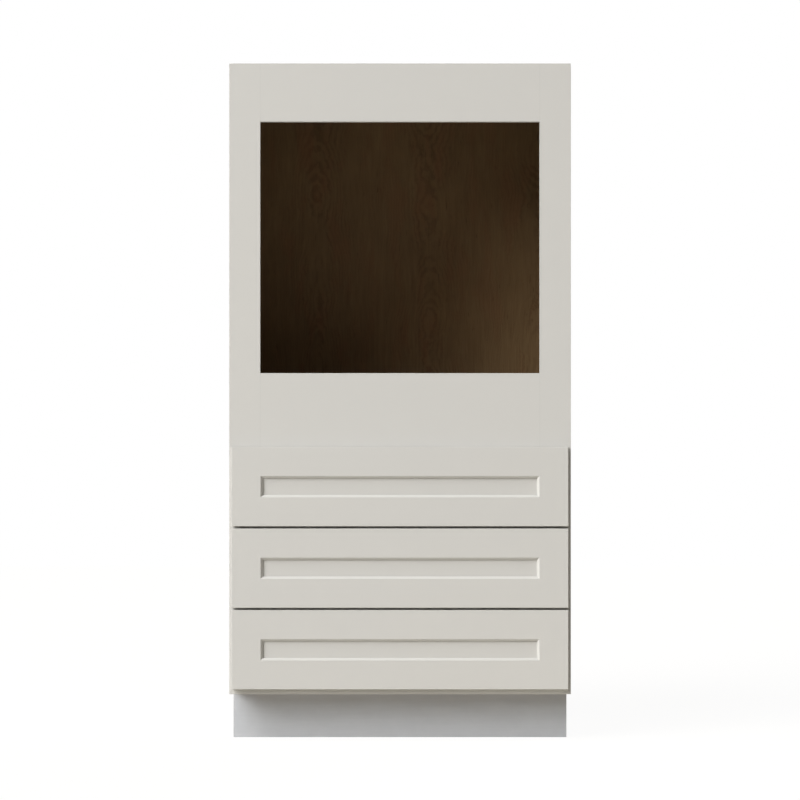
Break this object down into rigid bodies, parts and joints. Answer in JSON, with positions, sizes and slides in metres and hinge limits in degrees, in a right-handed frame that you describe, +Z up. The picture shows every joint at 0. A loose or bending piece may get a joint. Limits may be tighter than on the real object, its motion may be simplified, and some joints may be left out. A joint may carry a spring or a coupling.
{
  "type": "kitchen oven cabinet",
  "caption": "Framed kitchen cabinet with an open cut-out for a built-in oven above full-overlay shaker drawers on full-extension runners, over a recessed toe kick.",
  "frame": {"origin": "on the floor, at the middle of the whole cabinet's width and depth, drawer fronts included", "axes": "+Z up, -Y out of the front, +X to the right seen from the front"},
  "size_m": [0.8382, 0.6302, 1.6618],
  "materials": {
    "painted_wood": "satin paint",
    "toe_kick": "matt laminate",
    "case_panel": "stained veneer",
    "raw_board": "unfinished",
    "box_wood": "clear lacquer",
    "box_ply": "clear lacquer",
    "runner_steel": "zinc plated",
    "screw_steel": "zinc plated",
    "bracket_plastic": "moulded",
    "lock_plastic": "moulded",
    "lever_plastic": "moulded",
    "clear_bumper": "soft translucent"
  },
  "bodies": {
    "root": {"left_stile": "painted_wood", "right_stile": "painted_wood", "top_rail": "painted_wood", "middle_rail": "painted_wood", "upper_drawer_rail": "painted_wood", "lower_drawer_rail": "painted_wood", "bottom_rail": "painted_wood", "left_side_panel": "case_panel", "right_side_panel": "case_panel", "top_panel": "case_panel", "oven_shelf": "case_panel", "bottom_panel": "case_panel", "back_panel": "case_panel", "toe_kick_board": "raw_board", "toe_kick_skin": "toe_kick", "hanging_rails": "raw_board", "shelf_cleats": "case_panel", "cabinet_runners": "runner_steel", "rear_brackets": "bracket_plastic", "cabinet_screws": "screw_steel", "frame_bumpers": "clear_bumper"},
    "lower_drawer": {"lower_front_stiles": "painted_wood", "lower_front_rails": "painted_wood", "lower_front_panel": "painted_wood", "lower_box_sides": "box_wood", "lower_box_front": "box_wood", "lower_box_back": "box_wood", "lower_box_bottom": "box_ply", "lower_drawer_runners": "runner_steel", "lower_drawer_locks": "lock_plastic", "lower_front_screws": "screw_steel"},
    "lower_intermediate": {"lower_intermediate_runners": "runner_steel"},
    "lower_left_lever": {"lower_left_release_lever": "lever_plastic"},
    "lower_right_lever": {"lower_right_release_lever": "lever_plastic"},
    "middle_drawer": {"middle_front_stiles": "painted_wood", "middle_front_rails": "painted_wood", "middle_front_panel": "painted_wood", "middle_box_sides": "box_wood", "middle_box_front": "box_wood", "middle_box_back": "box_wood", "middle_box_bottom": "box_ply", "middle_drawer_runners": "runner_steel", "middle_drawer_locks": "lock_plastic", "middle_front_screws": "screw_steel"},
    "middle_intermediate": {"middle_intermediate_runners": "runner_steel"},
    "middle_left_lever": {"middle_left_release_lever": "lever_plastic"},
    "middle_right_lever": {"middle_right_release_lever": "lever_plastic"},
    "upper_drawer": {"upper_front_stiles": "painted_wood", "upper_front_rails": "painted_wood", "upper_front_panel": "painted_wood", "upper_box_sides": "box_wood", "upper_box_front": "box_wood", "upper_box_back": "box_wood", "upper_box_bottom": "box_ply", "upper_drawer_runners": "runner_steel", "upper_drawer_locks": "lock_plastic", "upper_front_screws": "screw_steel"},
    "upper_intermediate": {"upper_intermediate_runners": "runner_steel"},
    "upper_left_lever": {"upper_left_release_lever": "lever_plastic"},
    "upper_right_lever": {"upper_right_release_lever": "lever_plastic"}
  },
  "joints": [
    {"name": "lower_drawer_slide", "type": "slide", "parent": "root", "child": "lower_drawer", "axis": [0, -1, 0], "range_m": [0, 0.5]},
    {"name": "lower_intermediate_slide", "type": "slide", "parent": "root", "child": "lower_intermediate", "axis": [0, -1, 0], "range_m": [0, 0.25]},
    {"name": "middle_drawer_slide", "type": "slide", "parent": "root", "child": "middle_drawer", "axis": [0, -1, 0], "range_m": [0, 0.5]},
    {"name": "middle_intermediate_slide", "type": "slide", "parent": "root", "child": "middle_intermediate", "axis": [0, -1, 0], "range_m": [0, 0.25]},
    {"name": "upper_drawer_slide", "type": "slide", "parent": "root", "child": "upper_drawer", "axis": [0, -1, 0], "range_m": [0, 0.5]},
    {"name": "upper_intermediate_slide", "type": "slide", "parent": "root", "child": "upper_intermediate", "axis": [0, -1, 0], "range_m": [0, 0.25]},
    {"name": "lower_left_lever_turn", "type": "hinge", "parent": "lower_drawer", "child": "lower_left_lever", "pos_m": [-0.2829, -0.23497, 0.1608], "axis": [0, 0, 1], "range_deg": [0, 12], "stiffness_Nm_per_rad": 0.06, "springref_deg": -5.73},
    {"name": "lower_right_lever_turn", "type": "hinge", "parent": "lower_drawer", "child": "lower_right_lever", "pos_m": [0.2829, -0.23497, 0.1608], "axis": [0, 0, -1], "range_deg": [0, 12], "stiffness_Nm_per_rad": 0.06, "springref_deg": -5.73},
    {"name": "middle_left_lever_turn", "type": "hinge", "parent": "middle_drawer", "child": "middle_left_lever", "pos_m": [-0.2829, -0.23497, 0.3522], "axis": [0, 0, 1], "range_deg": [0, 12], "stiffness_Nm_per_rad": 0.06, "springref_deg": -5.73},
    {"name": "middle_right_lever_turn", "type": "hinge", "parent": "middle_drawer", "child": "middle_right_lever", "pos_m": [0.2829, -0.23497, 0.3522], "axis": [0, 0, -1], "range_deg": [0, 12], "stiffness_Nm_per_rad": 0.06, "springref_deg": -5.73},
    {"name": "upper_left_lever_turn", "type": "hinge", "parent": "upper_drawer", "child": "upper_left_lever", "pos_m": [-0.2829, -0.23497, 0.5517], "axis": [0, 0, 1], "range_deg": [0, 12], "stiffness_Nm_per_rad": 0.06, "springref_deg": -5.73},
    {"name": "upper_right_lever_turn", "type": "hinge", "parent": "upper_drawer", "child": "upper_right_lever", "pos_m": [0.2829, -0.23497, 0.5517], "axis": [0, 0, -1], "range_deg": [0, 12], "stiffness_Nm_per_rad": 0.06, "springref_deg": -5.73}
  ],
  "couplings": [
    {"joint": "lower_intermediate_slide", "follows": "lower_drawer_slide", "ratio": 0.5},
    {"joint": "middle_intermediate_slide", "follows": "middle_drawer_slide", "ratio": 0.5},
    {"joint": "upper_intermediate_slide", "follows": "upper_drawer_slide", "ratio": 0.5}
  ]
}
